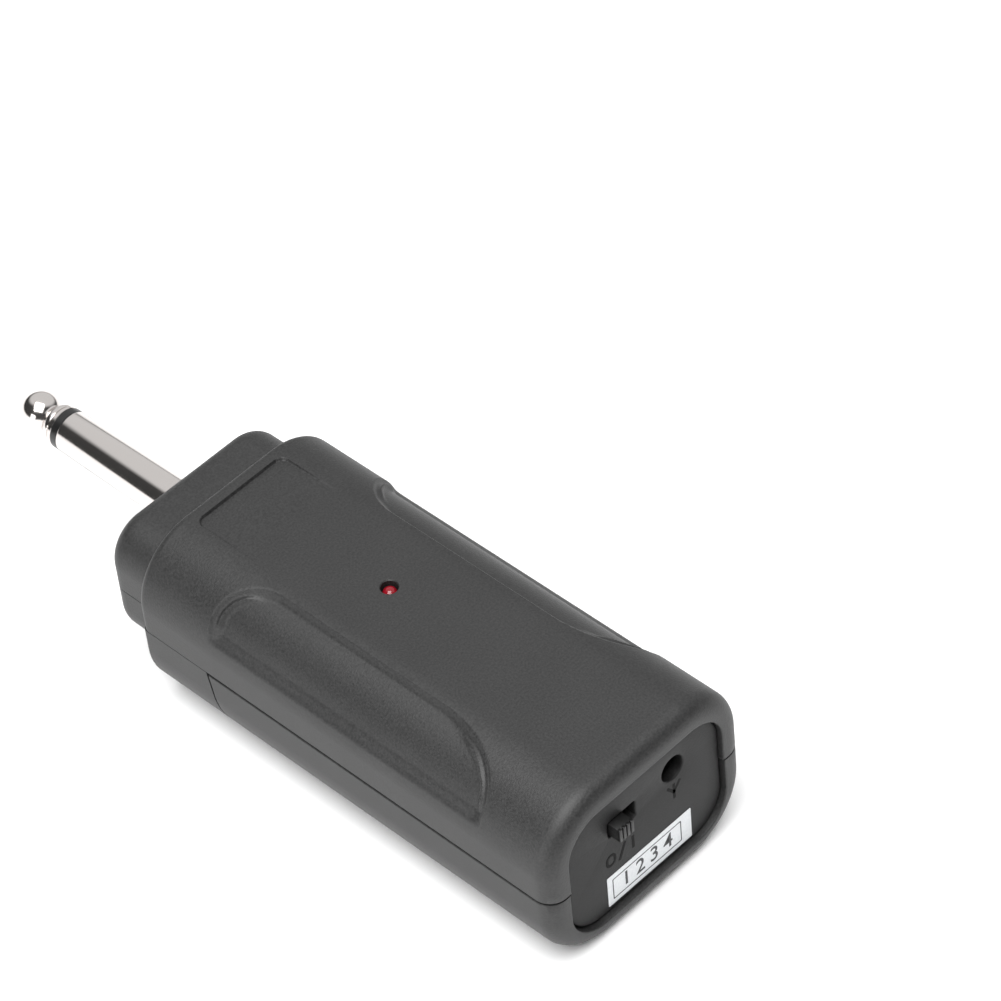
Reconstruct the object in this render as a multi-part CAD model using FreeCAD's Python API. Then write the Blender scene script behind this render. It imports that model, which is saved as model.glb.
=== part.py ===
import FreeCAD, Part
import math
import os

V = FreeCAD.Vector

# A battery powered guitar transmitter: a hand sized moulded case with a fixed
# 6.35 mm plug at one end and a small control plate at the other.
# X is across the case, Y runs from the control plate to the plug, Z is up.
# Y is counted from the rear rim while building and is centred at the end.

# ---- what the case is built around -------------------------------------------
cell_diameter = 10.5          # AAA cell
cell_length = 44.5
plug_radius = 3.175           # 6.35 mm plug
plug_exposed = 32.9
plug_axis_lift = 2.0          # above the parting line
plug_rod_radius = 1.15
plug_tube_radius = 1.95
plug_collar_step = 0.825
plug_flange_step = 0.9
plug_flange_width = 1.9
plug_relief = 0.2             # under the neck's front wall
ball_step = 0.2               # the ball and the ring are this much slimmer than the sleeve
jack_bore = 3.5               # antenna socket

# ---- mouldings ---------------------------------------------------------------
wall = 2.0
corner_radius = 10.0
end_round = 2.6
front_round = 0.9
tray_wall = 1.3
tray_ceiling = 1.1
screw_shelf = 3.8
board_bay_height = 11.9
front_bay_length = 12.4
door_lap = 4.4                # tray front wall to the door line
door_slant = 2.6              # the door line leans back by this at the bottom
neck_inset = 3.0
neck_length = 9.3
neck_height = 19.7
neck_corner_radius = 6.0
neck_round = 2.6
neck_drop = 1.95              # the neck's centre below the plug's axis
rim_recess = 0.8
plate_seat = 0.2              # the plate's flange sits this far behind the rear wall
plate_flange = 1.0
plate_margin_side = 3.85
plate_margin_bottom = 3.4
plate_margin_top = 3.8
plate_corner = 5.5
scoop_depth = 0.7
recess_depth = 0.4            # label recess on the top
recess_width = 16.0
recess_length = 11.0
recess_front = 2.3            # from the front edge of the case
sticker_width = 15.7
sticker_height = 5.4
sticker_offset = 0.45
sticker_lift = 0.7
sticker_thickness = 0.1
sticker_tilt = 0.8
post_radius = 2.2
thread_radius = 1.0

# ---- contacts and board ------------------------------------------------------
spring_length = 5.0
contact_sheet = 0.4
contact_bump = 0.9
board_thickness = 1.2
board_lift = 1.4
board_edge_gap = 1.7
led_radius = 1.5
led_hole_radius = 1.2
led_lead_x = 0.64
knob_width = 2.6
knob_height = 2.2
knob_travel = 1.9             # from off, on the left, to on
knob_end_gap = 0.3
knob_out = 1.8
slot_gap = 0.3
switch_x = -3.85
jack_x = 5.7
jack_body_width = 6.0
wire_radius = 0.45

# ---- clearances --------------------------------------------------------------
cell_gap = 0.25
cell_floor_gap = 0.2
door_gap = 0.15
slide_gap = 0.1
plug_gap = 0.1
plate_gap_fixed = 0.1
plate_gap_door = 0.3
screw_gap = 0.02

# ---- sizes that follow -------------------------------------------------------
body_width = 2 * (wall + screw_shelf + tray_wall + cell_diameter) + 3 * cell_gap
parting_z = wall + 2 * cell_floor_gap + cell_diameter + tray_ceiling
body_height = parting_z + board_bay_height + wall
plug_axis_z = parting_z + plug_axis_lift
flange_y0 = wall + plate_seat
plate_back = flange_y0 + plate_flange
tray_y0 = plate_back + 1.2
bay_y0 = tray_y0 + tray_wall
bay_y1 = bay_y0 + spring_length + contact_sheet + cell_length + contact_bump
tray_y1 = bay_y1 + tray_wall
door_y = tray_y1 + door_lap
body_length = door_y + front_bay_length
neck_y1 = body_length + neck_length
neck_width = body_width - 2 * neck_inset
neck_z = plug_axis_z - neck_drop
tip_y = neck_y1 + plug_exposed
board_z0 = parting_z + board_lift
board_z1 = board_z0 + board_thickness
board_y0 = plate_back + board_edge_gap
board_y1 = bay_y1 - 1.2
board_half = 0.5 * body_width - wall - 4.9
boss_x = 0.5 * body_width - wall - post_radius - 0.1
cell_x = 0.5 * (cell_diameter + cell_gap)
cell_z = wall + cell_floor_gap + 0.5 * cell_diameter
plug_flange_y1 = neck_y1 - wall - plug_gap
plug_flange_y0 = plug_flange_y1 - plug_flange_width
collar_radius = plug_radius + plug_collar_step
plug_rear_y = body_length - 3.0
y_mid = 0.5 * (tip_y - (knob_out - rim_recess))


def box(x0, x1, y0, y1, z0, z1):
    return Part.makeBox(x1 - x0, y1 - y0, z1 - z0, V(x0, y0, z0))


def cyl_y(x, z, r, y0, y1):
    return Part.makeCylinder(r, y1 - y0, V(x, y0, z), V(0, 1, 0))


def cyl_z(x, y, r, z0, z1):
    return Part.makeCylinder(r, z1 - z0, V(x, y, z0), V(0, 0, 1))


def join(first, *others):
    out = first.fuse(list(others))
    return out.removeSplitter()


def bar(width, height, radius, y0, y1, zc, round_rear=0.0, round_front=0.0):
    """A rounded rectangle run along Y, its ends softened if asked."""
    b = box(-width / 2, width / 2, y0, y1, zc - height / 2, zc + height / 2)
    along = [e for e in b.Edges if abs(e.tangentAt(e.FirstParameter).y) > 0.99]
    b = b.makeFillet(radius, along)
    for y, r in ((y0, round_rear), (y1, round_front)):
        if r > 0:
            rim = [e for e in b.Edges if all(abs(v.Point.y - y) < 1e-6 for v in e.Vertexes)]
            b = b.makeFillet(r, rim)
    return b


def plate_outline(grow, y0, y1):
    """The control plate's outline, grown by a clearance."""
    x = 0.5 * body_width - plate_margin_side + grow
    z0 = plate_margin_bottom - grow
    z1 = body_height - plate_margin_top + grow
    b = box(-x, x, y0, y1, z0, z1)
    along = [e for e in b.Edges if abs(e.tangentAt(e.FirstParameter).y) > 0.99]
    return b.makeFillet(plate_corner + grow, along)


def route(points, radius):
    """A round wire along straight runs joined by tangent arcs."""
    pts = [V(*p) for p in points]
    edges = []
    last = pts[0]
    for i in range(1, len(pts) - 1):
        a = pts[i] - pts[i - 1]
        b = pts[i + 1] - pts[i]
        shorter = min(a.Length, b.Length)
        a.normalize()
        b.normalize()
        turn = math.acos(max(-1.0, min(1.0, a.dot(b))))
        bend = 0.45 * shorter
        start = pts[i] - a * bend
        end = pts[i] + b * bend
        inward = b - a
        inward.normalize()
        r = bend / math.tan(turn / 2)
        centre = pts[i] + inward * (r / math.cos(turn / 2))
        mid = centre - inward * r
        edges.append(Part.makeLine(last, start))
        edges.append(Part.Arc(start, mid, end).toShape())
        last = end
    edges.append(Part.makeLine(last, pts[-1]))
    path = Part.Wire(edges)
    first = pts[1] - pts[0]
    ring = Part.Wire(Part.makeCircle(radius, pts[0], first))
    solid = path.makePipeShell([ring], True, False)
    want = math.pi * radius ** 2 * path.Length
    assert abs(solid.Volume / want - 1) < 0.02, "wire volume"
    return solid


def coil(x, z, y_base, y_end, r_base, r_end, wire, turns):
    """A tapered contact spring, wound in half turns from its base towards y_end."""
    height = abs(y_end - y_base) - 2 * wire
    count = round(2 * turns)
    halves = []
    for i in range(count):
        side = 1 if i % 2 == 0 else -1
        start = V(side * (r_base + (r_end - r_base) * i / count), 0, height * i / count)
        stop = V(-side * (r_base + (r_end - r_base) * (i + 1) / count), 0, height * (i + 1) / count)
        disc = Part.Face(Part.Wire(Part.makeCircle(wire, start, V(0, 1, 0))))
        axis = (stop - start).cross(V(0, -side, 0))
        axis.normalize()
        halves.append(disc.revolve((start + stop) * 0.5, axis, 180))
    solid = halves[0].fuse(halves[1:])
    assert len(solid.Solids) == 1, "the half turns of a spring don't join"
    solid = solid.Solids[0]
    turn = -90 if y_end > y_base else 90
    solid.rotate(V(0, 0, 0), V(1, 0, 0), turn)
    step = wire if y_end > y_base else -wire
    solid.translate(V(x, y_base + step, z))
    return solid


def profile_y(points, x, z):
    """Turn a list of (y, radius) around an axis along Y."""
    wire = Part.makePolygon([V(r, y, 0) for y, r in points] + [V(points[0][1], points[0][0], 0)])
    solid = Part.Face(wire).revolve(V(0, 0, 0), V(0, 1, 0), 360)
    solid.translate(V(x, 0, z))
    return solid


def screw(x, y, z_head, head_r, head_h, shank_r, length):
    """A pan head screw driven upwards, its head bearing at z_head."""
    z_low = z_head - head_h
    head = cyl_z(x, y, head_r, z_low, z_head)
    rim = [e for e in head.Edges if e.BoundBox.ZMax - z_low < 1e-6]
    head = head.makeFillet(0.4, rim)
    shank = cyl_z(x, y, shank_r, z_head, z_head + length)
    cross = box(x - 0.95, x + 0.95, y - 0.22, y + 0.22, z_low, z_low + 0.6)
    cross = cross.fuse(box(x - 0.22, x + 0.22, y - 0.95, y + 0.95, z_low, z_low + 0.6))
    return join(head, shank).cut(cross)


nodes = {}

# ---- the outer form, shared by both shells and the door -----------------------
half_w = 0.5 * body_width
outer = bar(body_width, body_height, corner_radius, 0, body_length, 0.5 * body_height, end_round, front_round)
inner = bar(body_width - 2 * wall, body_height - 2 * wall, corner_radius - wall,
            wall, body_length - wall, 0.5 * body_height)
neck_y0 = body_length - 2 * wall
neck = bar(neck_width, neck_height, neck_corner_radius, neck_y0, neck_y1, neck_z, 0, neck_round)
neck_inner = bar(neck_width - 2 * wall, neck_height - 2 * wall, neck_corner_radius - wall,
                 neck_y0 - 1, neck_y1 - wall, neck_z)
form = join(outer, neck).cut(inner.fuse(neck_inner))
above = box(-50, 50, -10, 200, parting_z, 60)
below = box(-50, 50, -10, 200, -10, parting_z)


# ---- upper shell -------------------------------------------------------------
def scoop(side):
    """One finger grip: a shallow pocket in the rounded upper edge."""
    cx = half_w - corner_radius
    cz = body_height - corner_radius
    skin = bar(body_width + 4, body_height + 4, corner_radius + 2, 5, body_length - 5, 0.5 * body_height)
    core = bar(body_width - 2 * scoop_depth, body_height - 2 * scoop_depth, corner_radius - scoop_depth,
               5, body_length - 5, 0.5 * body_height)
    y_front = door_y - 0.6
    y_rear = 11.8
    s_low = -corner_radius * math.sin(math.radians(28))
    s_top = corner_radius * math.sin(math.radians(30))

    def at(y, s):
        return V(0, y, s)
    front = Part.Arc(at(y_front - 2.6, s_low), at(y_front, -1.2), at(y_front - 7, s_top)).toShape()
    top = Part.makeLine(at(y_front - 7, s_top), at(y_rear + 11, s_top))
    rear = Part.Arc(at(y_rear + 11, s_top), at(y_rear + 1.1, 0.6), at(y_rear + 1.6, s_low)).toShape()
    low = Part.makeLine(at(y_rear + 1.6, s_low), at(y_front - 2.6, s_low))
    face = Part.Face(Part.Wire([front, top, rear, low]))
    prism = face.extrude(V(corner_radius + 3, 0, 0))
    prism.rotate(V(0, 0, 0), V(0, 1, 0), -45)
    prism.translate(V(cx, 0, cz))
    cut = prism.common(skin).cut(core)
    if side < 0:
        cut = cut.mirror(V(0, 0, 0), V(1, 0, 0))
    return cut


upper = form.common(above)
bosses_y = (tray_y0 + 6.5, tray_y1 - 1.0)
for sx in (-1, 1):
    for y in bosses_y:
        post = cyl_z(sx * boss_x, y, post_radius, parting_z, parting_z + 7.5)
        xs = sorted((sx * boss_x, sx * (half_w - 0.5 * wall)))
        web = box(xs[0], xs[1], y - 0.6, y + 0.6, parting_z, parting_z + 7.5)
        web = web.common(bar(body_width - wall, body_height - wall, corner_radius - 0.5 * wall,
                             0, body_length, 0.5 * body_height))
        upper = join(upper, post, web)
post_x = board_half - post_radius - 0.4
post_y = 0.5 * (board_y0 + board_y1) + 2.0
for sx in (-1, 1):
    post = cyl_z(sx * post_x, post_y, post_radius, board_z1, body_height - 0.5 * wall)
    upper = join(upper, post)
# two ribs behind the control plate, and the wall that traps the plug's flange
rib_y0 = plate_back + 0.05
for sx in (-1, 1):
    x_in = half_w - plate_margin_side - 0.6
    rib = box(min(sx * x_in, sx * (half_w - 1)), max(sx * x_in, sx * (half_w - 1)), rib_y0, rib_y0 + 1.0,
              parting_z, parting_z + 5.0)
    upper = join(upper, rib)
trap_y1 = plug_flange_y0 - plug_gap
trap_y0 = trap_y1 - 1.8
trap = box(-0.5 * neck_width + 1, 0.5 * neck_width - 1, trap_y0, trap_y1, neck_z - 0.5 * neck_height + 1,
           neck_z + 0.5 * neck_height - 1)
trap_upper = trap.common(above).common(bar(neck_width - 1, neck_height - 1, neck_corner_radius - 0.5,
                                           trap_y0 - 1, trap_y1 + 1, neck_z))
trap_lower = trap.common(below).common(bar(neck_width - 1, neck_height - 1, neck_corner_radius - 0.5,
                                           trap_y0 - 1, trap_y1 + 1, neck_z))
upper = join(upper, trap_upper)
# the plug sits in slots that are open downwards
slots = ((neck_y1 - wall, neck_y1, plug_radius + plug_gap), (trap_y0, trap_y1, collar_radius + plug_gap))
for y0, y1, r in slots:
    hole = cyl_y(0, plug_axis_z, r, y0 - 0.05, y1 + 0.05)
    drop = box(-r, r, y0 - 0.05, y1 + 0.05, parting_z - 1, plug_axis_z)
    upper = upper.cut(hole.fuse(drop))
# rear opening, lamp hole, label step, grips and screw holes
upper = upper.cut(plate_outline(plate_gap_fixed, -1, flange_y0))
led_y = board_y0 + 0.78 * (board_y1 - board_y0)
upper = upper.cut(cyl_z(0, led_y, led_hole_radius, body_height - wall - 1, body_height + 1))
upper = upper.cut(cyl_z(0, led_y, led_radius + 0.1, body_height - wall - 1, body_height - 0.75 * wall))
step_y1 = body_length - recess_front
step = Part.Face(Part.makePolygon([V(0, step_y1, body_height + 1),
                                   V(0, step_y1, body_height - recess_depth),
                                   V(0, step_y1 - recess_length, body_height),
                                   V(0, step_y1 - recess_length, body_height + 1),
                                   V(0, step_y1, body_height + 1)]))
step = step.extrude(V(recess_width, 0, 0))
step.translate(V(-0.5 * recess_width, 0, 0))
upright = [e for e in step.Edges if abs(e.tangentAt(e.FirstParameter).z) > 0.99]
upright = [e for e in upright if abs(e.BoundBox.YMax - step_y1) < 1e-6]
upper = upper.cut(step.makeFillet(1.5, upright))
for sx in (-1, 1):
    upper = upper.cut(scoop(sx))
    for y in bosses_y:
        upper = upper.cut(cyl_z(sx * boss_x, y, thread_radius + screw_gap, parting_z - 1, parting_z + 6.5))
    upper = upper.cut(cyl_z(sx * post_x, post_y, thread_radius + screw_gap, board_z0, board_z1 + 6.0))
nodes["upper_shell"] = upper

# ---- lower shell: the fixed front part with the battery tray -----------------
def slanted(y, z, y_far):
    """All that lies between the slanted door line, met at (y, z), and y_far."""
    low = y - door_slant * 1.5
    outline = [V(-50, y, z), V(-50, y - door_slant, 0), V(-50, low, -7), V(-50, y_far, -7),
               V(-50, y_far, z), V(-50, y, z)]
    return Part.Face(Part.makePolygon(outline)).extrude(V(100, 0, 0))


cut_line = slanted(door_y, parting_z, 200)
lower = form.common(below).common(cut_line)
shelf_x = half_w - wall - 0.4
thin_x = half_w - wall - 1.05
bay_half = cell_diameter + 1.5 * cell_gap
tray = box(-bay_half - tray_wall, bay_half + tray_wall, tray_y0, tray_y1, wall + 2.0, parting_z)
tray = tray.cut(box(-bay_half, bay_half, bay_y0, bay_y1, -1, parting_z - tray_ceiling))
shelf = box(-shelf_x, shelf_x, tray_y0, door_y + 2, parting_z - 2.0, parting_z)
shelf = shelf.cut(box(-bay_half, bay_half, bay_y0, bay_y1, 0, parting_z - tray_ceiling))
for sx in (-1, 1):
    xs = sorted((sx * thin_x, sx * 50))
    shelf = shelf.cut(box(xs[0], xs[1], -1, door_y, parting_z - 1.0, parting_z + 1))
bulk_y0 = door_y + 2.0
bulkhead = box(-half_w, half_w, bulk_y0, bulk_y0 + 1.5, 0, parting_z)
bulkhead = bulkhead.common(bar(body_width - wall, body_height - wall, corner_radius - 0.5 * wall,
                               bulk_y0 - 1, bulk_y0 + 3, 0.5 * body_height))
lower = join(lower, tray, shelf, bulkhead, trap_lower)
for y0, y1, r in slots:
    saddle = box(-r + 0.05, r - 0.05, y0, y1, neck_z - 0.5 * neck_height + 1, plug_axis_z)
    saddle = saddle.cut(cyl_y(0, plug_axis_z, r, y0 - 1, y1 + 1))
    lower = join(lower, saddle)
    lower = lower.cut(cyl_y(0, plug_axis_z, r, y0 - 0.05, y1 + 0.05))
for sx in (-1, 1):
    for y in bosses_y:
        lower = lower.cut(cyl_z(sx * boss_x, y, thread_radius + 0.15, parting_z - 3, parting_z + 1))
# slots that let the two contact tabs up to the board
for sx in (-1, 1):
    lower = lower.cut(box(sx * cell_x - 1.6, sx * cell_x + 1.6, bay_y1 - contact_sheet - 0.1, bay_y1 + 0.01,
                          parting_z - tray_ceiling - 1, parting_z + 1))
nodes["lower_shell"] = lower

# ---- battery door ------------------------------------------------------------
behind = slanted(door_y - door_gap, parting_z - door_gap, -50)
door = form.common(behind)
tongue_in = half_w - plate_margin_side + plate_gap_door
tongue_out = half_w - wall - 0.75
tongue_z0 = 0.5 * parting_z
door = door.cut(plate_outline(plate_gap_door, -1, wall + 0.2))
for sx in (-1, 1):
    xs = sorted((sx * (thin_x + slide_gap), sx * (half_w - 0.5 * wall)))
    lip = box(xs[0], xs[1], tray_y0 + 0.5, door_y - 3.5, parting_z - 1.0 + slide_gap, parting_z - door_gap)
    xs = sorted((sx * tongue_in, sx * tongue_out))
    tongue = box(xs[0], xs[1], door_y - 8.0, door_y + 1.6, tongue_z0, tongue_z0 + 2.0)
    xs = sorted((sx * tongue_in, sx * (half_w - 0.5 * wall)))
    foot = box(xs[0], xs[1], door_y - 8.0, door_y - door_slant - 0.5, tongue_z0, tongue_z0 + 2.0)
    door = join(door, lip, foot, tongue)
nodes["battery_door"] = door

# ---- control plate and its label ---------------------------------------------
plate = plate_outline(0, rim_recess, flange_y0)
flange = plate_outline(1.4, flange_y0, plate_back)
flange = flange.common(box(-50, 50, -5, 50, parting_z + 0.3, 50))
cavity = bar(body_width - 2 * wall - 0.2, body_height - 2 * wall - 0.2, corner_radius - wall - 0.1,
             0, plate_back + 1, 0.5 * body_height)
flange = flange.common(cavity)
back = plate_outline(0, flange_y0 - 0.01, plate_back)
plate = join(plate, back, flange)
switch_z = board_z1 + 0.5 * knob_height + 0.4
slot_half = 0.5 * (knob_width + knob_travel) + knob_end_gap
knob_x = switch_x - 0.5 * knob_travel
plate = plate.cut(box(switch_x - slot_half, switch_x + slot_half, -1, 5,
                      switch_z - 0.5 * knob_height - slot_gap, switch_z + 0.5 * knob_height + slot_gap))
jack_z = board_z1 + 0.5 * jack_bore + 0.95
plate = plate.cut(cyl_y(jack_x, jack_z, 0.5 * jack_bore + 0.2, -1, 5))
nodes["end_plate"] = plate
label_z = plate_margin_bottom + sticker_lift
label = box(sticker_offset - 0.5 * sticker_width, sticker_offset + 0.5 * sticker_width,
            rim_recess - sticker_thickness, rim_recess, label_z, label_z + sticker_height)
label.rotate(V(0, 0, label_z + 0.5 * sticker_height), V(0, 1, 0), sticker_tilt)
nodes["channel_label"] = label

# ---- plug --------------------------------------------------------------------
rod_r = plug_rod_radius
tube_r = plug_tube_radius
ball_r = plug_radius - ball_step
ring_y0 = tip_y - 9.3
ring_y1 = tip_y - 8.1
tip = profile_y([(plug_rear_y - 2.6, 0), (plug_rear_y - 2.6, rod_r), (ring_y1, rod_r), (ring_y1, ball_r),
                 (tip_y - 6.9, ball_r), (tip_y - 6.3, ball_r - 0.25), (tip_y - 5.8, ball_r - 0.8),
                 (tip_y - 5.4, ball_r - 1.05), (tip_y - 5.0, ball_r - 0.8), (tip_y - 4.4, ball_r - 0.36),
                 (tip_y - 3.7, ball_r - 0.09), (tip_y - 3.0, ball_r), (tip_y - 2.2, ball_r - 0.11),
                 (tip_y - 1.5, ball_r - 0.39), (tip_y - 0.8, ball_r - 0.95), (tip_y - 0.3, ball_r - 1.66),
                 (tip_y, ball_r - 2.5),
                 (tip_y, 0)],
                0, plug_axis_z)
nodes["plug_tip"] = tip
insulator = profile_y([(plug_rear_y - 1.2, rod_r), (plug_rear_y - 1.2, tube_r), (ring_y0, tube_r),
                       (ring_y0, ball_r), (ring_y1, ball_r), (ring_y1, rod_r)], 0, plug_axis_z)
nodes["plug_insulator"] = insulator
sleeve = profile_y([(plug_rear_y, tube_r), (plug_rear_y, collar_radius - 0.4),
                    (trap_y0 - 2.0, collar_radius - 0.4), (trap_y0 - 2.0, collar_radius),
                    (plug_flange_y0, collar_radius),
                    (plug_flange_y0, collar_radius + plug_flange_step),
                    (plug_flange_y1, collar_radius + plug_flange_step),
                    (plug_flange_y1, plug_radius - plug_relief), (neck_y1, plug_radius - plug_relief),
                    (neck_y1, plug_radius), (ring_y0 - 0.15, plug_radius), (ring_y0, plug_radius - 0.15),
                    (ring_y0, tube_r)], 0, plug_axis_z)
nodes["plug_sleeve"] = sleeve
sleeve_lug = cyl_y(0, plug_axis_z, collar_radius - 0.5, plug_rear_y - 0.4, plug_rear_y)
tag = box(-1.3, 1.3, plug_rear_y - 0.4, plug_rear_y, plug_axis_z, plug_axis_z + 6.0)
sleeve_lug = join(sleeve_lug, tag)
sleeve_lug = sleeve_lug.cut(cyl_y(0, plug_axis_z, tube_r + 0.02, plug_rear_y - 1, plug_rear_y + 1))
sleeve_lug = sleeve_lug.cut(cyl_y(0, plug_axis_z + 5.0, 0.55, plug_rear_y - 1, plug_rear_y + 1))
sleeve_lug.rotate(V(0, plug_rear_y, plug_axis_z), V(0, 1, 0), 50)
nodes["sleeve_lug"] = sleeve_lug
washer = cyl_y(0, plug_axis_z, collar_radius - 0.5, plug_rear_y - 1.4, plug_rear_y - 0.4)
washer = washer.cut(cyl_y(0, plug_axis_z, tube_r + 0.02, plug_rear_y - 1.2, plug_rear_y))
washer = washer.cut(cyl_y(0, plug_axis_z, rod_r + 0.02, plug_rear_y - 2, plug_rear_y))
nodes["plug_washer"] = washer
tip_lug = cyl_y(0, plug_axis_z, 2.4, plug_rear_y - 1.8, plug_rear_y - 1.4)
tag = box(-1.2, 1.2, plug_rear_y - 1.8, plug_rear_y - 1.4, plug_axis_z, plug_axis_z + 5.4)
tip_lug = join(tip_lug, tag)
tip_lug = tip_lug.cut(cyl_y(0, plug_axis_z, rod_r + 0.02, plug_rear_y - 3, plug_rear_y))
tip_lug = tip_lug.cut(cyl_y(0, plug_axis_z + 4.5, 0.55, plug_rear_y - 3, plug_rear_y))
tip_lug.rotate(V(0, plug_rear_y, plug_axis_z), V(0, 1, 0), -35)
nodes["tip_lug"] = tip_lug

# ---- cells and contacts ------------------------------------------------------
def cell(x, plus):
    y0 = bay_y0 + spring_length + contact_sheet if plus > 0 else bay_y0 + contact_bump
    body = cyl_y(x, cell_z, 0.5 * cell_diameter, y0, y0 + cell_length - 0.8)
    rims = [e for e in body.Edges if abs(e.BoundBox.YMax - e.BoundBox.YMin) < 1e-6]
    body = body.makeFillet(0.5, rims)
    nub = cyl_y(x, cell_z, 1.9, y0 + cell_length - 0.9, y0 + cell_length)
    whole = join(body, nub)
    if plus < 0:
        whole = whole.mirror(V(0, y0 + 0.5 * cell_length, 0), V(0, 1, 0))
    return whole


nodes["battery_left"] = cell(-cell_x, 1)
nodes["battery_right"] = cell(cell_x, -1)
sheet_top = parting_z - tray_ceiling - 0.2
bridge = box(-cell_x - 4.2, cell_x + 4.2, bay_y0, bay_y0 + contact_sheet, cell_z - 4.0, sheet_top)
dimple = cyl_y(cell_x, cell_z, 1.6, bay_y0, bay_y0 + contact_bump)
nodes["battery_bridge"] = join(bridge, dimple)
front_y = bay_y1 - contact_sheet


def front_contact(x):
    """A flat contact behind the bay's front wall, with a tab up to the board."""
    pad = box(x - 4.2, x + 4.2, front_y, bay_y1, cell_z - 4.0, sheet_top)
    return join(pad, box(x - 1.5, x + 1.5, front_y, bay_y1, cell_z, board_z1 + 2.2))


bump = cyl_y(-cell_x, cell_z, 1.6, bay_y1 - contact_bump, bay_y1)
nodes["battery_positive_contact"] = join(front_contact(-cell_x), bump)
nodes["battery_negative_contact"] = front_contact(cell_x)
spring_y = bay_y0 + contact_sheet
rear_spring = coil(-cell_x, cell_z, spring_y, spring_y + spring_length, 3.6, 2.3, 0.3, 3.5)
front_spring = coil(cell_x, cell_z, front_y, front_y - spring_length, 3.6, 2.3, 0.3, 3.5)
nodes["battery_springs"] = Part.makeCompound([rear_spring, front_spring])

# ---- board and what stands on it ---------------------------------------------
board = box(-board_half, board_half, board_y0, board_y1, board_z0, board_z1)
upright = [e for e in board.Edges if abs(e.tangentAt(e.FirstParameter).z) > 0.99]
board = board.makeFillet(1.0, upright)
for sx in (-1, 1):
    board = board.cut(cyl_z(sx * post_x, post_y, thread_radius + 0.15, board_z0 - 1, board_z1 + 1))

switch_half = slot_half + 1.2
sw_y0 = plate_back + 0.2
sw_y1 = sw_y0 + 3.6
sw_top = board_z1 + 3.4
base = box(switch_x - switch_half, switch_x + switch_half, sw_y0 + 2.2, sw_y1, board_z1, sw_top)
nodes["switch_base"] = base
sw_x0 = switch_x - switch_half
sw_x1 = switch_x + switch_half
frame = box(sw_x0 - 0.3, sw_x1 + 0.3, sw_y0, sw_y1 - 0.4, board_z1, sw_top + 0.3)
frame = frame.cut(box(sw_x0, sw_x1, sw_y0 + 0.3, sw_y1, board_z1 - 1, sw_top))
frame = frame.cut(box(switch_x - slot_half, switch_x + slot_half, sw_y0 - 1, sw_y0 + 1,
                      switch_z - 0.5 * knob_height - 0.2, switch_z + 0.5 * knob_height + 0.2))
nodes["switch_frame"] = frame
knob = box(knob_x - 0.5 * knob_width, knob_x + 0.5 * knob_width, rim_recess - knob_out, sw_y0 + 0.5,
           switch_z - 0.5 * knob_height, switch_z + 0.5 * knob_height)
carrier = box(knob_x - 0.5 * knob_width - 0.5, knob_x + 0.5 * knob_width + 0.5, sw_y0 + 0.4, sw_y0 + 2.0,
              switch_z - 0.5 * knob_height - 0.25, switch_z + 0.5 * knob_height + 0.35)
grooves = []
for k in (-1, 0, 1):
    x = knob_x + k * knob_width / 3.6
    grooves.append(box(x - 0.2, x + 0.2, rim_recess - knob_out - 1, rim_recess - knob_out + 0.35,
                       switch_z - knob_height, switch_z + knob_height))
knob = join(knob, carrier)
for g in grooves:
    knob = knob.cut(g)
nodes["switch_knob"] = knob
pins = []
for k in (-1, 0, 1):
    x = switch_x + k * 2.0
    pins.append(box(x - 0.2, x + 0.2, sw_y1 - 0.9, sw_y1 - 0.6, board_z0 - 0.8, board_z1))
    board = board.cut(cyl_z(x, sw_y1 - 0.75, 0.35, board_z0 - 1, board_z1 + 1))
nodes["switch_pins"] = Part.makeCompound(pins)

jack_y0 = plate_back + 0.3
jack_half = 0.5 * jack_body_width
jack_body = box(jack_x - jack_half, jack_x + jack_half, jack_y0 + 1.0, jack_y0 + 11.0,
                board_z1, jack_z + 0.5 * jack_bore + 0.95)
jack_body = join(jack_body, cyl_y(jack_x, jack_z, 0.5 * jack_bore + 0.65, jack_y0, jack_y0 + 1.5))
jack_body = jack_body.cut(cyl_y(jack_x, jack_z, 0.5 * jack_bore, jack_y0 - 1, jack_y0 + 9.5))
window = box(jack_x + 1.0, jack_x + 4, jack_y0 + 5.0, jack_y0 + 8.0, jack_z - 1.0, jack_z + 1.0)
jack_body = jack_body.cut(window)
nodes["antenna_socket"] = jack_body
blade_x = jack_x + 0.5 * jack_bore + 0.05
pin_x = jack_x + jack_half + 0.1
contact = box(blade_x, blade_x + 0.4, jack_y0 + 5.2, jack_y0 + 7.8, jack_z - 0.8, jack_z + 0.8)
contact = join(contact, box(blade_x, pin_x + 0.3, jack_y0 + 5.2, jack_y0 + 7.8, jack_z - 0.8, jack_z - 0.5),
               box(pin_x, pin_x + 0.3, jack_y0 + 5.2, jack_y0 + 7.8, board_z1, jack_z - 0.5))
nodes["antenna_contact"] = contact


def led_parts():
    base_z = body_height - wall - 3.9
    dome_top = body_height - 0.25 * wall
    body = cyl_z(0, led_y, led_radius, base_z, dome_top - 1.6)
    flange_ring = cyl_z(0, led_y, led_radius + 0.3, base_z, base_z + 0.8)
    dome = Part.makeSphere(led_hole_radius - 0.1, V(0, led_y, dome_top - led_hole_radius + 0.1))
    neck_part = cyl_z(0, led_y, led_hole_radius - 0.1, dome_top - 1.7, dome_top - led_hole_radius + 0.1)
    lens = join(body, flange_ring, neck_part, dome)
    leads = []
    for x in (-led_lead_x, led_lead_x):
        leads.append(box(x - 0.2, x + 0.2, led_y - 0.2, led_y + 0.2, board_z0 - 0.8, base_z))
    return lens, leads


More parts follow.
